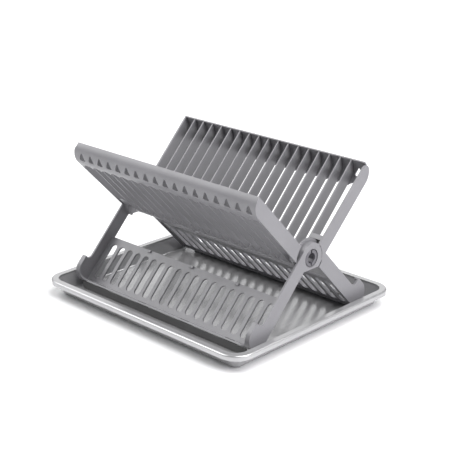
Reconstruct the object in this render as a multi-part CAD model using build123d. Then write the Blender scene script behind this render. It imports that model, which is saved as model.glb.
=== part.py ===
from build123d import *
import math
import os

# A folding plate rack standing open in its drip tray, in millimetres.
# +Z is up, X runs along the fold axis, and the origin is under the middle of the tray.
#
# Two alike frames cross at the fold axis. Each one is described once, in a frame of its own:
# X along the fold axis, v across the band of the frame, and u up the leaf from the fold axis.
# The leaf lies at v > 0 and u > 0, and the leg below it lies at v < 0 and u < 0.

# Driving dimensions
RACK_LENGTH = 380.0
LEAN = 43.65  # each leaf's angle from the vertical when the rack stands open, degrees
PIVOT_HEIGHT = 121.0
BAND = 23.0  # width of the rails and the legs
LEAF_TOP = 168.4
FOOT_BOTTOM = -157.0
END_PLATE = 3.0
FIN_PITCH = 20.8
FIN_COUNT = 17
SLOT_PITCH = 19.0
SLOT_COUNT = 19
TRAY_LENGTH = 424.0
TRAY_WIDTH = 362.0
TRAY_HEIGHT = 27.5

# Ends of the frames
OUTER = RACK_LENGTH / 2
INNER = OUTER - END_PLATE
BOSS_END = 1  # the outboard hub is at +X in the frame's own axes
CUP_END = -1  # and the recessed hub is at -X

# Hubs and the studs through them
STUD_R = 11.4
STUD_CLEARANCE = 0.05
STUD_BORE_R = 8.0
STUD_SLOT = 2.5
STUD_HEAD_R = 13.5
STUD_HEAD_THICK = 3.0
STUD_BARB_R = 12.9
BARB_THICK = 1.3
BARB_CHAMFER = 0.8
BOSS_R = 23.5
BOSS_THICK = 8.0
HUB_FLAT = 17.5  # both hubs are cut level this far under the fold axis
COUNTERBORE_R = 14.2
COUNTERBORE_DEPTH = 2.0
CUP_GAP = 0.6  # between the boss of one frame and the cup of the other
CUP_FLOOR = 3.0
CUP_WALL = 2.5
CUP_LEAF_R = 34.5
CUP_LEG_R = 26.0
BAND_GAP = 0.5  # between the leg of one frame and the leaf rail of the other
BOSS_INNER = OUTER - BOSS_THICK
CUP_OUTER = BOSS_INNER - CUP_GAP
CUP_INNER = CUP_OUTER - CUP_FLOOR
BORE_R = STUD_R + STUD_CLEARANCE
HEAD_GAP = 0.4
BARB_GAP = 0.3
WEB_TOP = 38.0
WEB_R = 30.5  # the web beside the boss stays this clear of the fold axis

# Leaf: fins, lip and heel bar
FLARE = 1.6  # outward lean of the rail above the boss, degrees
RAIL_CORNER_R = 8.0
FIN_THICK = 1.8
FIN_SET_BACK = 0.5
FIN_GAP = 0.1  # hairline between the fins and the lip and bar they are moulded to
FIN_CORNER_R = 4.0
LAST_FIN = FIN_PITCH * (FIN_COUNT - 1) / 2 + FIN_THICK / 2  # outer side of the last fin
LIP_THICK = 2.0
LIP_SKIRT_BOTTOM = 134.0
LIP_CENTRE = LEAF_TOP - BAND
SCALLOP_R = 11.0
SCALLOP_CENTRE = 129.0
DRAIN_HOLE_ANGLE = 53.0  # round the lip, from the leaf's direction, degrees
DRAIN_HOLE_WIDTH = 14.0
DRAIN_HOLE_LENGTH = 16.0
DRAIN_HOLE_CORNER_R = 2.2
HEEL_LOW = 6.0
HEEL_HIGH = 11.0
HEEL_WIDTH = 7.5

# Leg: drain panel with its slots and nubs
PANEL_TOP = -75.0
PANEL_FRONT = -5.6
PANEL_BACK = -2.6
SLOT_WIDTH = 12.5
SLOT_LOW = -149.6
SLOT_HIGH = -86.0
NUB_COUNT = 3
NUB_SPACING = 96.0
NUB_WIDTH = 7.0
NUB_HEIGHT = 4.0
NUB_DEPTH = 2.5

# Foot: profile of the end plates, and the channel between them
FOOT_SLOPE = 0.395  # drop of the foot's underside for each millimetre of v
FOOT_FRONT = -39.0
FOOT_CORNER_R = 20.0
FOOT_TIP_R = 3.0
NOTCH_DEPTH = -128.0
NOTCH_R = 8.0
PRONG_TOP = -128.0
PRONG_R = 3.0
CHANNEL_THICK = 2.5
CHANNEL_LIP_V = -19.5
CHANNEL_FLANGE = 5.0
CHANNEL_BEND_R = 18.0
CHANNEL_CEILING = -100.0  # above the whole channel, for the cuts
PAD_POSITIONS = (-141.0, -47.0, 47.0, 141.0)
PAD_LENGTH = 20.0
PAD_DEPTH = 9.0
PAD_CENTRE_Y = -121.0
PAD_SLIT_V = -14.0
PAD_SLIT_WIDTH = 3.0
PAD_SLIT_GAP = 0.2
PAD_TONGUE = 1.0  # how far it stands up out of its slit

# Tray
TRAY_FLOOR = 3.0
TRAY_WALL = 2.5
TRAY_WALL_TAPER = 24.0
TRAY_RIM_WIDTH = 11.0
TRAY_RIM_THICK = 3.0
TRAY_SKIRT = 2.2
TRAY_SKIRT_BOTTOM = 19.5
TRAY_CORNER_R = 30.0
TRAY_MOUTH_CORNER_R = 20.0
TRAY_FLOOR_FILLET = 3.0
TRAY_FLOOR_EDGE = 22.6  # from the outer edge of the rim to where the floor starts to curve up
END_WALL_HALF = 145.0  # half the straight length of the tray's end walls
TRAY_BASE_FILLET = 5.0
TRAY_RIM_FILLET = 2.6

FAR = 400.0  # longer than anything it cuts

FRAME_B = Pos(0, 0, PIVOT_HEIGHT) * Rot(X=-LEAN)
FRAME_A = Rot(Z=180) * FRAME_B


# Shared shapes

def rectangle(v_low, u_low, v_high, u_high):
    """A rectangle between two corners."""
    centre = Pos((v_low + v_high) / 2, (u_low + u_high) / 2)
    return centre * Rectangle(v_high - v_low, u_high - u_low)


def disc(radius, v=0.0, u=0.0):
    return Pos(v, u) * Circle(radius)


def slab(face, x_low, x_high):
    """A (v, u) face made solid along X."""
    return extrude(Plane.YZ.offset(x_low) * face, amount=x_high - x_low)


def end_slab(face, end, near, far):
    """A slab between two distances from the middle of the rack, at one end of it."""
    low, high = sorted((end * near, end * far))
    return slab(face, low, high)


def corner(face, v, u):
    """The corner of a face that is nearest to one point."""
    return face.vertices().sort_by_distance((v, u, 0))[0]


def rounded(face, rounds):
    """The face with some of its corners rounded: a list of (v, u, radius)."""
    for v, u, radius in rounds:
        face = fillet(corner(face, v, u), radius)
    return face


def evenly(count, pitch):
    """Positions along X, evenly spaced about the middle."""
    return [(i - (count - 1) / 2) * pitch for i in range(count)]


def from_open_pose(y, z):
    """The (v, u) place in the near leg's frame of a point in the standing rack."""
    sine = math.sin(math.radians(LEAN))
    cosine = math.cos(math.radians(LEAN))
    height = z - PIVOT_HEIGHT
    return (cosine * y - sine * height, sine * y + cosine * height)


def in_crossing_frame(v, u):
    """The (v, u) place, in one frame, of a point given in the frame that crosses it."""
    sine = math.sin(math.radians(2 * LEAN))
    cosine = math.cos(math.radians(2 * LEAN))
    return (-cosine * v - sine * u, cosine * u - sine * v)


def foot_underside(v):
    return FOOT_BOTTOM + FOOT_SLOPE * v


# Profiles of one frame, as (v, u) faces

def leaf_profile(band, v_low, u_low):
    """The leaf seen from its end, rounded over at the top of its outer side."""
    straight = rectangle(v_low, u_low, band, LIP_CENTRE)
    top = disc(band, 0, LIP_CENTRE) & rectangle(v_low, LIP_CENTRE, band, LEAF_TOP)
    return straight + top


def leg_profile():
    """The leg and its foot seen from their end, with the notch over the foot's prong."""
    outline = Polyline(
        (0, 0),
        (-BAND, 0),
        (-BAND, NOTCH_DEPTH),
        (FOOT_FRONT, PRONG_TOP),
        (FOOT_FRONT, foot_underside(FOOT_FRONT)),
        (0, FOOT_BOTTOM),
        close=True,
    )
    rounds = (
        (-BAND, NOTCH_DEPTH, NOTCH_R),
        (FOOT_FRONT, PRONG_TOP, PRONG_R),
        (FOOT_FRONT, foot_underside(FOOT_FRONT), FOOT_CORNER_R),
        (0, FOOT_BOTTOM, FOOT_TIP_R),
    )
    return rounded(make_face(outline), rounds)


def hub_profile(radius):
    """A disc round the fold axis, cut level below it in the open pose except on the leg."""
    top = PIVOT_HEIGHT - HUB_FLAT
    corners = [(-FAR, top), (FAR, top), (FAR, -FAR), (-FAR, -FAR)]
    below = make_face(Polyline(*[from_open_pose(y, z) for y, z in corners], close=True))
    leg_side = rectangle(-BAND, -FAR, 0, 0)
    return disc(radius) - (below - leg_side)


def crossing_rail():
    """Where the other frame's leaf rail passes the leg of this one in the open pose."""
    corners = (
        (-BAND_GAP, 0),
        (BAND + BAND_GAP, 0),
        (BAND + BAND_GAP, 2 * BAND),
        (-BAND_GAP, 2 * BAND),
    )
    return make_face(Polyline(*[in_crossing_frame(v, u) for v, u in corners], close=True))


# Pieces of one frame

def flared(solid):
    """Turned outwards from the height of the fold axis, at the boss end."""
    return solid.rotate(Axis((BOSS_END * INNER, 0, 0), (0, BOSS_END, 0)), FLARE)


def inside_flare():
    """All the space on the inner side of the flared rail."""
    return flared(end_slab(rectangle(-FAR, -FAR, FAR, FAR), BOSS_END, -FAR, INNER))


def boss_rail():
    """End plate of the leaf, above the boss, leaning outwards to its rounded top."""
    face = rounded(leaf_profile(BAND, 0, 0), [(0, LEAF_TOP, RAIL_CORNER_R)])
    rail = flared(end_slab(face, BOSS_END, INNER, OUTER))
    return rail - end_slab(disc(BOSS_R), BOSS_END, 0, FAR)


def cup_rail():
    """End plate of the leaf, above the cup."""
    face = leaf_profile(BAND, 0, 0) - disc(CUP_LEAF_R)
    return end_slab(face, CUP_END, INNER, OUTER)


def boss_leg():
    """End plate of the leg and foot, below the boss."""
    return end_slab(leg_profile() - hub_profile(BOSS_R), BOSS_END, INNER, OUTER)


def cup_leg():
    """End plate of the leg and foot, below the cup, clear of the other frame's rail."""
    face = leg_profile() - disc(CUP_LEG_R) - crossing_rail()
    return end_slab(face, CUP_END, INNER, OUTER)


def boss_hub():
    """Thick outboard disc that turns inside the other frame's cup."""
    boss = end_slab(hub_profile(BOSS_R) - disc(BORE_R), BOSS_END, BOSS_INNER, OUTER)
    return boss - end_slab(disc(COUNTERBORE_R), BOSS_END, OUTER - COUNTERBORE_DEPTH, OUTER)


def boss_web():
    """Block between the last fin and the rail above the boss, hollowed round the other frame's cup."""
    face = rectangle(FIN_SET_BACK, 0, BAND - LIP_THICK, WEB_TOP) - disc(WEB_R)
    return end_slab(face, BOSS_END, LAST_FIN, OUTER) & inside_flare()


def cup_hub():
    """Sunk disc with curved walls out to the end plates, around the other frame's boss."""
    leaf_side = rectangle(0, 0, BAND, FAR)
    leg_side = rectangle(-BAND, -FAR, 0, 0)
    leaf_reach = disc(CUP_LEAF_R + CUP_WALL) & leaf_side
    leg_reach = hub_profile(CUP_LEG_R + CUP_WALL)
    floor = end_slab(leaf_reach + leg_reach - disc(BORE_R), CUP_END, CUP_INNER, CUP_OUTER)
    leaf_wall = leaf_reach - disc(CUP_LEAF_R)
    leg_wall = (leg_reach & leg_side) - disc(CUP_LEG_R)
    return floor + end_slab(leaf_wall + leg_wall, CUP_END, CUP_OUTER, INNER)


def plate_fins():
    """Thin plates across the leaf that the dishes stand between."""
    foot = HEEL_HIGH + FIN_GAP
    face = leaf_profile(BAND - LIP_THICK - FIN_GAP, FIN_SET_BACK, foot)
    face = rounded(face, [(FIN_SET_BACK, foot, FIN_CORNER_R)])
    fins = [slab(face, x - FIN_THICK / 2, x + FIN_THICK / 2) for x in evenly(FIN_COUNT, FIN_PITCH)]
    return Compound(children=fins)


def drain_hole():
    """A rounded triangle that points to the top edge of the lip."""
    half = DRAIN_HOLE_WIDTH / 2
    reach = DRAIN_HOLE_LENGTH / 2
    outline = make_face(Polyline((0, -reach), (half, reach), (-half, reach), close=True))
    return fillet(outline.vertices(), DRAIN_HOLE_CORNER_R)


def top_lip():
    """Quarter-round rail along the top of the leaf, with drain holes and a scalloped skirt."""
    reach = BAND - LIP_THICK
    shell = leaf_profile(BAND, 0, LIP_SKIRT_BOTTOM) - leaf_profile(reach, -BAND, 0)
    lip = end_slab(shell, BOSS_END, -INNER, OUTER + BAND) & inside_flare()
    tilt = math.radians(DRAIN_HOLE_ANGLE)
    normal = (0, math.sin(tilt), math.cos(tilt))
    scallop = Plane.XZ * disc(SCALLOP_R)
    cuts = []
    for x in evenly(FIN_COUNT + 1, FIN_PITCH):
        lip_middle = Plane(origin=(x, 0, LIP_CENTRE), x_dir=(1, 0, 0), z_dir=normal)
        cuts.append(extrude(lip_middle * drain_hole(), amount=2 * BAND))
        cuts.append(extrude(Pos(x, 0, SCALLOP_CENTRE) * scallop, amount=-2 * BAND))
    return lip - cuts


def heel_bar():
    """Bar under the fins, from the cup to the last fin beside the boss."""
    reach = BAND - LIP_THICK
    face = rectangle(reach - HEEL_WIDTH, HEEL_LOW, reach, HEEL_HIGH)
    return end_slab(face, BOSS_END, -CUP_INNER, LAST_FIN)


def drain_panel():
    """Slotted panel between the legs, with three small nubs on its top edge."""
    lift = CHANNEL_THICK * math.hypot(1, FOOT_SLOPE)
    face = make_face(
        Polyline(
            (PANEL_FRONT, PANEL_TOP),
            (PANEL_BACK, PANEL_TOP),
            (PANEL_BACK, foot_underside(PANEL_BACK) + lift),
            (PANEL_FRONT, foot_underside(PANEL_FRONT) + lift),
            close=True,
        )
    )
    slot = Rot(Z=90) * SlotOverall(SLOT_HIGH - SLOT_LOW, SLOT_WIDTH)
    middle = (SLOT_HIGH + SLOT_LOW) / 2
    slots = [
        extrude(Plane.XZ * (Pos(x, middle) * slot), amount=BAND, both=True)
        for x in evenly(SLOT_COUNT, SLOT_PITCH)
    ]
    nub = rectangle(PANEL_FRONT - NUB_DEPTH, PANEL_TOP - NUB_HEIGHT, PANEL_FRONT, PANEL_TOP)
    nubs = [slab(nub, x - NUB_WIDTH / 2, x + NUB_WIDTH / 2) for x in evenly(NUB_COUNT, NUB_SPACING)]
    return slab(face, -INNER, INNER) - slots + nubs


def channel_profile():
    """Floor and outer wall of the channel along the foot."""
    lift = CHANNEL_THICK * math.hypot(1, FOOT_SLOPE)
    wall = FOOT_FRONT + CHANNEL_THICK
    inside = make_face(
        Polyline(
            (BAND, foot_underside(BAND) + lift),
            (wall, foot_underside(wall) + lift),
            (wall, CHANNEL_CEILING),
            (BAND, CHANNEL_CEILING),
            close=True,
        )
    )
    bend = (wall, foot_underside(wall) + lift, FOOT_CORNER_R - CHANNEL_THICK)
    foot = leg_profile() & rectangle(-FAR, -FAR, FAR, CHANNEL_CEILING)
    return foot - rounded(inside, [bend])


def foot_channel():
    """Channel along the foot: a low lip that sweeps up into the prongs at both ends."""
    channel = slab(channel_profile(), -INNER, INNER)
    side = INNER - CHANNEL_FLANGE
    mouth = rectangle(-side, -FAR, side, CHANNEL_LIP_V)
    bends = [(x, CHANNEL_LIP_V, CHANNEL_BEND_R) for x in (-side, side)]
    cuts = rounded(mouth, bends)
    for x in PAD_POSITIONS:
        cuts += Pos(x, PAD_SLIT_V) * SlotOverall(PAD_LENGTH, PAD_SLIT_WIDTH)
    return channel - extrude(Pos(0, 0, CHANNEL_CEILING) * cuts, amount=-FAR)


def foot_pads():
    """Rubber pads under the channel, each with a tongue up through its slit."""
    lift = CHANNEL_THICK * math.hypot(1, FOOT_SLOPE)
    low, high = PAD_CENTRE_Y - PAD_DEPTH / 2, PAD_CENTRE_Y + PAD_DEPTH / 2
    corners = [(low, TRAY_FLOOR), (high, TRAY_FLOOR), (high, PIVOT_HEIGHT), (low, PIVOT_HEIGHT)]
    column = make_face(Polyline(*[from_open_pose(y, z) for y, z in corners], close=True))
    under = make_face(
        Polyline(
            (FOOT_FRONT, foot_underside(FOOT_FRONT)),
            (BAND, foot_underside(BAND)),
            (BAND, -FAR),
            (FOOT_FRONT, -FAR),
            close=True,
        )
    )
    half = PAD_SLIT_WIDTH / 2 - PAD_SLIT_GAP
    top = foot_underside(PAD_SLIT_V) + lift + PAD_TONGUE
    tongue = rectangle(PAD_SLIT_V - half, top - FOOT_CORNER_R, PAD_SLIT_V + half, top) - under
    block_face = column & under
    pads = []
    for x in PAD_POSITIONS:
        block = slab(block_face, x - PAD_LENGTH / 2, x + PAD_LENGTH / 2)
        inset = PAD_SLIT_WIDTH / 2 + PAD_SLIT_GAP
        stem = slab(tongue, x - PAD_LENGTH / 2 + inset, x + PAD_LENGTH / 2 - inset)
        pads.append(block + stem)
    return Compound(children=pads)


# The studs that hold the frames together

def pivot_stud(end):
    """Hollow snap-in stud: a head inside the cup and a split barb outside the boss."""
    head_outer = CUP_INNER - HEAD_GAP
    head_inner = head_outer - STUD_HEAD_THICK
    barb_inner = OUTER - COUNTERBORE_DEPTH + BARB_GAP
    barb_outer = barb_inner + BARB_THICK
    barrel = end_slab(disc(STUD_R), end, head_inner, barb_outer)
    head = end_slab(disc(STUD_HEAD_R), end, head_inner, head_outer)
    barb = end_slab(disc(STUD_BARB_R), end, barb_inner, barb_outer)
    tip = barb.edges().filter_by(GeomType.CIRCLE).sort_by(Axis.X)
    barb = chamfer(tip[-1] if end > 0 else tip[0], BARB_CHAMFER)
    bore = end_slab(disc(STUD_BORE_R), end, head_inner, barb_outer)
    split_face = rectangle(-STUD_SLOT / 2, -FAR, STUD_SLOT / 2, FAR)
    split = end_slab(split_face, end, CUP_OUTER, barb_outer)
    return Pos(0, 0, PIVOT_HEIGHT) * (barrel + head + barb - bore - split)


# The tray

def tray_shape(inset, corner_r, z):
    """The tray's plan at one height, set in from its outer edge."""
    plan = RectangleRounded(TRAY_LENGTH - 2 * inset, TRAY_WIDTH - 2 * inset, corner_r)
    return Pos(0, 0, z) * plan


def tray_pan():
    """Base and sloping walls in one shell, up to the underside of the rim."""
    top = TRAY_HEIGHT - TRAY_RIM_THICK
    outside_inset = TRAY_RIM_WIDTH - TRAY_WALL
    outside = tray_shape(outside_inset, TRAY_MOUTH_CORNER_R + TRAY_WALL, top)
    inside = tray_shape(TRAY_RIM_WIDTH, TRAY_MOUTH_CORNER_R, top)
    body = extrude(outside, amount=-top, taper=TRAY_WALL_TAPER)
    hollow = extrude(inside, amount=TRAY_FLOOR - top, taper=TRAY_WALL_TAPER)
    body = fillet(body.faces().sort_by(Axis.Z)[0].edges(), TRAY_BASE_FILLET)
    hollow = fillet(hollow.faces().sort_by(Axis.Z)[0].edges(), TRAY_FLOOR_FILLET)
    return body - hollow


def floor_block():
    """A block as thick as the tray's floor, as far as its level part reaches."""
    plan = Rectangle(TRAY_LENGTH - 2 * TRAY_FLOOR_EDGE, TRAY_WIDTH - 2 * TRAY_FLOOR_EDGE)
    return extrude(plan, amount=TRAY_FLOOR)


def tray_floor():
    """Flat base that the feet stand on."""
    return tray_pan() & floor_block()


def tray_walls():
    """The straight end walls at -X and +X, and the side walls with the corners."""
    walls = tray_pan() - floor_block()
    straight = extrude(Rectangle(FAR + TRAY_LENGTH, 2 * END_WALL_HALF), amount=TRAY_HEIGHT)
    return walls & straight, walls - straight


def tray_rim():
    """Flat rim turned down at its outer edge."""
    top = TRAY_HEIGHT - TRAY_RIM_THICK
    outer_plan = tray_shape(0, TRAY_CORNER_R, TRAY_SKIRT_BOTTOM)
    outer = extrude(outer_plan, amount=TRAY_HEIGHT - TRAY_SKIRT_BOTTOM)
    outer = fillet(outer.faces().sort_by(Axis.Z)[-1].edges(), TRAY_RIM_FILLET)
    mouth = extrude(tray_shape(TRAY_RIM_WIDTH, TRAY_MOUTH_CORNER_R, 0), amount=FAR)
    under = extrude(tray_shape(TRAY_SKIRT, TRAY_CORNER_R - TRAY_SKIRT, 0), amount=top)
    return outer - mouth - under


# All nodes

FRAME_PIECES = {
    "boss_rail": boss_rail,
    "cup_rail": cup_rail,
    "boss_leg": boss_leg,
    "cup_leg": cup_leg,
    "boss_hub": boss_hub,
    "boss_web": boss_web,
    "cup_hub": cup_hub,
    "plate_fins": plate_fins,
    "top_lip": top_lip,
    "heel_bar": heel_bar,
    "drain_panel": drain_panel,
    "foot_channel": foot_channel,
    "foot_pads": foot_pads,
}

end_walls, side_walls = tray_walls()
nodes = {
    "tray_floor": tray_floor(),
    "tray_end_walls": end_walls,
    "tray_side_walls": side_walls,
    "tray_rim": tray_rim(),
    "pivot_stud_right": pivot_stud(1),
    "pivot_stud_left": pivot_stud(-1),
}
for name, make_piece in FRAME_PIECES.items():
    piece = make_piece()
    nodes[f"frame_a_{name}"] = FRAME_A * piece
    nodes[f"frame_b_{name}"] = FRAME_B * piece

os.makedirs("parts", exist_ok=True)
for name, solid in nodes.items():
    export_step(solid, f"parts/{name}.step")
    print(name)
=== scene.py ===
import math

import bmesh
import bpy
from mathutils import Matrix, Vector

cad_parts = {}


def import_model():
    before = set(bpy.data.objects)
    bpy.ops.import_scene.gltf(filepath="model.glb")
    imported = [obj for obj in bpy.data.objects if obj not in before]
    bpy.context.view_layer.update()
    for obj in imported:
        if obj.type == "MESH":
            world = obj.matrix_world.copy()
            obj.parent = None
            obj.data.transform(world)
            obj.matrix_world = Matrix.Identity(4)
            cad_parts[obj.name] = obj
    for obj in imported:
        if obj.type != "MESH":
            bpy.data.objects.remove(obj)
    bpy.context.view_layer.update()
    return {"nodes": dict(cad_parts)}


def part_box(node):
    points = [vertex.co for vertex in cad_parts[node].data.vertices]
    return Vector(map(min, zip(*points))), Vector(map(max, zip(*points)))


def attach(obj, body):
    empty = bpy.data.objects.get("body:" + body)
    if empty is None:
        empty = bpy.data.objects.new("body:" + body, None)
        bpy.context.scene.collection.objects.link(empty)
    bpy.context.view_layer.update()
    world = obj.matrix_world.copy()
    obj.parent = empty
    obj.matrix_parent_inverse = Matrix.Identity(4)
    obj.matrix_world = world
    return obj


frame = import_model()
nodes = frame["nodes"]

# Moulded edges, in metres and radians
MOULD_EDGE = 0.00035  # radius
MOULD_EDGE_ANGLE = math.radians(40)  # sharper edges than this are rounded
SMOOTH_ANGLE = math.radians(32)  # flatter edges than this are shaded smooth

# Plastics: noise scales in features per metre, and depths of the variation
NOISE_LOW, NOISE_HIGH = 0.3, 0.7  # the part of a noise's values that is used
NOISE_ROUGHNESS = 0.55
DRIFT_SCALE, DRIFT_DETAIL, DRIFT_DEPTH = 9, 3, 0.06
FLAKE_SCALE, FLAKE_DETAIL, FLAKE_SHARE, FLAKE_GAIN = 2600, 2, 0.15, 1.35
GLOSS_SCALE, GLOSS_DETAIL, GLOSS_DEPTH = 60, 4, 0.05
GRAIN_SCALE, GRAIN_DETAIL, GRAIN_HEIGHT = 1500, 3, 0.00012
COAT_ROUGHNESS = 0.25

# Strips of painted shade under the feet, in metres
SHADE_STRIP_SECTION = (  # inwards from the lip's edge, and height over the tray's floor
    (0.0004, 0.0122),
    (0.0004, 0.0012),
    (0.0007, 0.0006),
    (0.0012, 0.0004),
    (0.0016, 0.0006),
    (0.0019, 0.0012),
    (0.0019, 0.0122),
)
SHADE_STRIP_STEPS = 24
SHADE_STRIP_END = 0.007  # from the ends of the channel
SHADE_STRIP_ROUND = 0.005  # length of the rounded lower corners
LIP_EDGE = 0.1278  # from the middle of the rack to the edge of a foot's lip

# Stage, in metres and degrees
FLOOR_HALF = 9.0
FLOOR_COLOUR = (0.86, 0.86, 0.865, 1)
FLOOR_ROUGHNESS = 0.7
WORLD_COLOUR = (0.97, 0.98, 1, 1)
LIGHT_TARGET = Vector((0, 0, 0.1))
CAMERA_TARGET = Vector((0.0107, 0.0102, 0.1199))
CAMERA_AZIMUTH = -46.45
CAMERA_ELEVATION = 20.06
CAMERA_DISTANCE = 1.857
CAMERA_ROLL = 0.4
CAMERA_LENS = 94.16  # millimetres
CAMERA_REACH = 50


# Materials

def tree_of(name):
    """A new material, its node tree and its shader."""
    material = bpy.data.materials.new(name)
    material.use_nodes = True
    return material, material.node_tree, material.node_tree.nodes["Principled BSDF"]


def noise(tree, scale, detail):
    """A noise in object space, with features of about 1 / scale metres."""
    place = tree.nodes.new("ShaderNodeTexCoord")
    texture = tree.nodes.new("ShaderNodeTexNoise")
    texture.inputs["Scale"].default_value = scale
    texture.inputs["Detail"].default_value = detail
    texture.inputs["Roughness"].default_value = NOISE_ROUGHNESS
    tree.links.new(place.outputs["Object"], texture.inputs["Vector"])
    return texture.outputs["Fac"]


def spread_to(tree, value, low, high):
    """The used part of a noise, spread over low to high."""
    ranged = tree.nodes.new("ShaderNodeMapRange")
    ranged.inputs["From Min"].default_value = NOISE_LOW
    ranged.inputs["From Max"].default_value = NOISE_HIGH
    ranged.inputs["To Min"].default_value = low
    ranged.inputs["To Max"].default_value = high
    tree.links.new(value, ranged.inputs["Value"])
    return ranged.outputs["Result"]


def mixed(tree, factor, first, second):
    """A colour between two, each a socket or three numbers."""
    mix = tree.nodes.new("ShaderNodeMix")
    mix.data_type = "RGBA"
    tree.links.new(factor, mix.inputs["Factor"])
    for socket, colour in ((mix.inputs["A"], first), (mix.inputs["B"], second)):
        if isinstance(colour, bpy.types.NodeSocket):
            tree.links.new(colour, socket)
        else:
            socket.default_value = (*colour, 1)
    return mix.outputs["Result"]


def scaled(colour, gain):
    return [c * gain for c in colour]


def plastic(name, colour, roughness, grain, drift=1.0, coat=0.0, metal=0.0):
    """Moulded plastic: slow colour drift, fine flakes and a grain in the surface."""
    material, tree, shader = tree_of(name)
    dark = scaled(colour, 1 - DRIFT_DEPTH * drift)
    light = scaled(colour, 1 + DRIFT_DEPTH * drift)
    slow = spread_to(tree, noise(tree, DRIFT_SCALE, DRIFT_DETAIL), 0, 1)
    ground = mixed(tree, slow, dark, light)
    fine = noise(tree, FLAKE_SCALE, FLAKE_DETAIL)
    flakes = spread_to(tree, fine, 0, FLAKE_SHARE * drift)
    speckled = mixed(tree, flakes, ground, scaled(colour, FLAKE_GAIN))
    tree.links.new(speckled, shader.inputs["Base Color"])
    shader.inputs["Metallic"].default_value = metal
    dull = roughness + GLOSS_DEPTH * drift
    shiny = roughness - GLOSS_DEPTH * drift
    gloss = spread_to(tree, noise(tree, GLOSS_SCALE, GLOSS_DETAIL), shiny, dull)
    tree.links.new(gloss, shader.inputs["Roughness"])
    shader.inputs["Coat Weight"].default_value = coat
    shader.inputs["Coat Roughness"].default_value = COAT_ROUGHNESS
    bump = tree.nodes.new("ShaderNodeBump")
    bump.inputs["Strength"].default_value = grain
    bump.inputs["Distance"].default_value = GRAIN_HEIGHT
    tree.links.new(noise(tree, GRAIN_SCALE, GRAIN_DETAIL), bump.inputs["Height"])
    tree.links.new(bump.outputs["Normal"], shader.inputs["Normal"])
    return material


rack_plastic = plastic("rack_plastic", (0.215, 0.212, 0.224), 0.38, 0.2)
stud_plastic = plastic("stud_plastic", (0.105, 0.102, 0.115), 0.34, 0.15)
tray_plastic = plastic(
    "tray_plastic", (0.47, 0.47, 0.475), 0.22, 0.012, drift=0.3, coat=0.2, metal=0.6
)
# Painted shade for the foot pads and for the strips under the feet: the pads are
# near-black, darker than their own light grey, so that they read as the shade under
# the near foot
pad_rubber = plastic("pad_rubber", (0.08, 0.08, 0.08), 0.7, 0.3)


# Surfaces of the moulded nodes

def material_of(name):
    if name.startswith("tray"):
        return tray_plastic
    if name.startswith("pivot"):
        return stud_plastic
    if name.endswith("foot_pads"):
        return pad_rubber
    return rack_plastic


def soften(piece):
    """Rounded edges and smooth shading, with the mesh itself left as it is."""
    polygons = piece.data.polygons
    polygons.foreach_set("use_smooth", [True] * len(polygons))
    piece.data.set_sharp_from_angle(angle=SMOOTH_ANGLE)
    bevel = piece.modifiers.new("moulded_edge", "BEVEL")
    bevel.width = MOULD_EDGE
    bevel.segments = 2
    bevel.limit_method = "ANGLE"
    bevel.angle_limit = MOULD_EDGE_ANGLE
    bevel.harden_normals = True
    bevel.use_clamp_overlap = True


for name, node in nodes.items():
    node.data.materials.clear()
    node.data.materials.append(material_of(name))
    soften(node)


# Painted shade: dark strips that hang under the outer lips of the feet

def link(piece):
    bpy.context.scene.collection.objects.link(piece)


def painted_shade_strip(name, side, body):
    """A thin dark strip of painted shade that hangs from the lip of a foot to the
    tray's floor.
    """
    low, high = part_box(body + "_foot_channel")
    floor_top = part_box("tray_floor")[1][2]
    first, last = low[0] + SHADE_STRIP_END, high[0] - SHADE_STRIP_END
    top = SHADE_STRIP_SECTION[0][1]
    width = len(SHADE_STRIP_SECTION)
    points, faces = [], []
    for step in range(SHADE_STRIP_STEPS + 1):
        x = first + (last - first) * (1 - math.cos(math.pi * step / SHADE_STRIP_STEPS)) / 2
        near = min(x - first, last - x, SHADE_STRIP_ROUND)
        lift = SHADE_STRIP_ROUND - math.sqrt(SHADE_STRIP_ROUND**2 - (SHADE_STRIP_ROUND - near) ** 2)
        for inwards, height in SHADE_STRIP_SECTION:
            y = side * (LIP_EDGE - inwards)
            points.append((x, y, floor_top + height + lift * (1 - height / top)))
    for step in range(SHADE_STRIP_STEPS):
        for i in range(width):
            a, b = step * width + i, step * width + (i + 1) % width
            faces.append((a, b, b + width, a + width))
    faces.append(tuple(range(width)))
    faces.append(tuple(SHADE_STRIP_STEPS * width + i for i in range(width)))
    mesh = bpy.data.meshes.new(name)
    mesh.from_pydata(points, [], faces)
    form = bmesh.new()
    form.from_mesh(mesh)
    bmesh.ops.recalc_face_normals(form, faces=form.faces)
    form.to_mesh(mesh)
    form.free()
    mesh.materials.append(pad_rubber)
    piece = bpy.data.objects.new(name, mesh)
    link(piece)
    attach(piece, body)


painted_shade_strip("near_foot_painted_shade", -1, "frame_b")
painted_shade_strip("far_foot_painted_shade", 1, "frame_a")


# Stage

def floor():
    """A pale floor under the tray."""
    mesh = bpy.data.meshes.new("floor")
    turns = ((-1, -1), (1, -1), (1, 1), (-1, 1))
    corners = [(FLOOR_HALF * x, FLOOR_HALF * y, 0) for x, y in turns]
    mesh.from_pydata(corners, [], [(0, 1, 2, 3)])
    piece = bpy.data.objects.new("floor", mesh)
    link(piece)
    material, _, shader = tree_of("floor_paper")
    shader.inputs["Base Color"].default_value = FLOOR_COLOUR
    shader.inputs["Roughness"].default_value = FLOOR_ROUGHNESS
    mesh.materials.append(material)


def look_from(place, target):
    return (target - place).to_track_quat("-Z", "Y")


def lamp(name, light, place, target):
    """A lamp at a place that faces a target."""
    piece = bpy.data.objects.new(name, light)
    piece.location = place
    piece.rotation_mode = "QUATERNION"
    piece.rotation_quaternion = look_from(Vector(place), target)
    link(piece)


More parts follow.
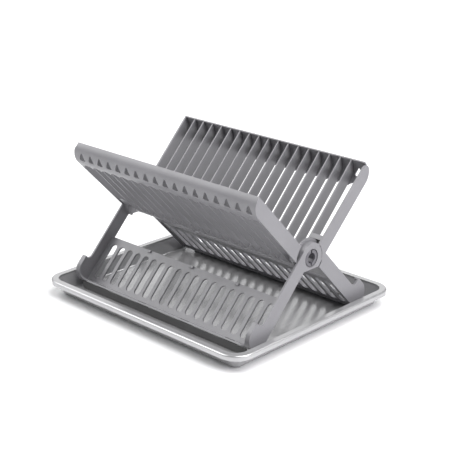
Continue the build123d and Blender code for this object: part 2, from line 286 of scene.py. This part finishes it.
def area_light(name, place, size, watts, colour=(1, 1, 1)):
    """A softbox that faces the rack."""
    light = bpy.data.lights.new(name, "AREA")
    light.shape = "RECTANGLE"
    light.size, light.size_y = size
    light.energy = watts
    light.color = colour
    lamp(name, light, place, LIGHT_TARGET)


def sunlight(strength, place, width):
    """Even soft light that reaches the whole floor."""
    light = bpy.data.lights.new("sky_panel", "SUN")
    light.energy = strength
    light.angle = math.radians(width)
    lamp("sky_panel", light, place, Vector((0, 0, 0)))


def world(strength, seen):
    """Weak even light on the object, in front of a backdrop that is seen as pale."""
    backdrop = bpy.data.worlds.new("studio")
    backdrop.use_nodes = True
    tree = backdrop.node_tree
    sky = tree.nodes["Background"]
    sky.inputs["Color"].default_value = WORLD_COLOUR
    path = tree.nodes.new("ShaderNodeLightPath")
    level = tree.nodes.new("ShaderNodeMapRange")
    level.inputs["To Min"].default_value = strength
    level.inputs["To Max"].default_value = seen
    tree.links.new(path.outputs["Is Camera Ray"], level.inputs["Value"])
    tree.links.new(level.outputs["Result"], sky.inputs["Strength"])
    bpy.context.scene.world = backdrop


def camera():
    """The camera, on a sphere around its target, with a slight roll."""
    azimuth = math.radians(CAMERA_AZIMUTH)
    elevation = math.radians(CAMERA_ELEVATION)
    across = math.cos(elevation)
    away = Vector(
        (
            across * math.cos(azimuth),
            across * math.sin(azimuth),
            math.sin(elevation),
        )
    )
    lens = bpy.data.cameras.new("camera")
    lens.lens = CAMERA_LENS
    lens.clip_end = CAMERA_REACH
    view = bpy.data.objects.new("camera", lens)
    turn = look_from(away, Vector((0, 0, 0))).to_matrix().to_4x4()
    roll = Matrix.Rotation(math.radians(CAMERA_ROLL), 4, "Z")
    place = Matrix.Translation(CAMERA_TARGET + CAMERA_DISTANCE * away)
    view.matrix_world = place @ turn @ roll
    link(view)
    bpy.context.scene.camera = view


floor()
sunlight(3.6, (0.55, 0.25, 1.0), 60)
area_light("right_bank", (2.2, 0.4, 1.0), (0.7, 0.6), 15, colour=(0.97, 0.94, 1.0))
area_light("front_bank", (-2.0, -1.1, 2.3), (3.0, 2.4), 84)
area_light("back_card", (-2.2, 2.3, 1.0), (3.0, 1.6), 14)
world(0.2, 0.95)
camera()
bpy.context.scene.view_settings.view_transform = "Standard"
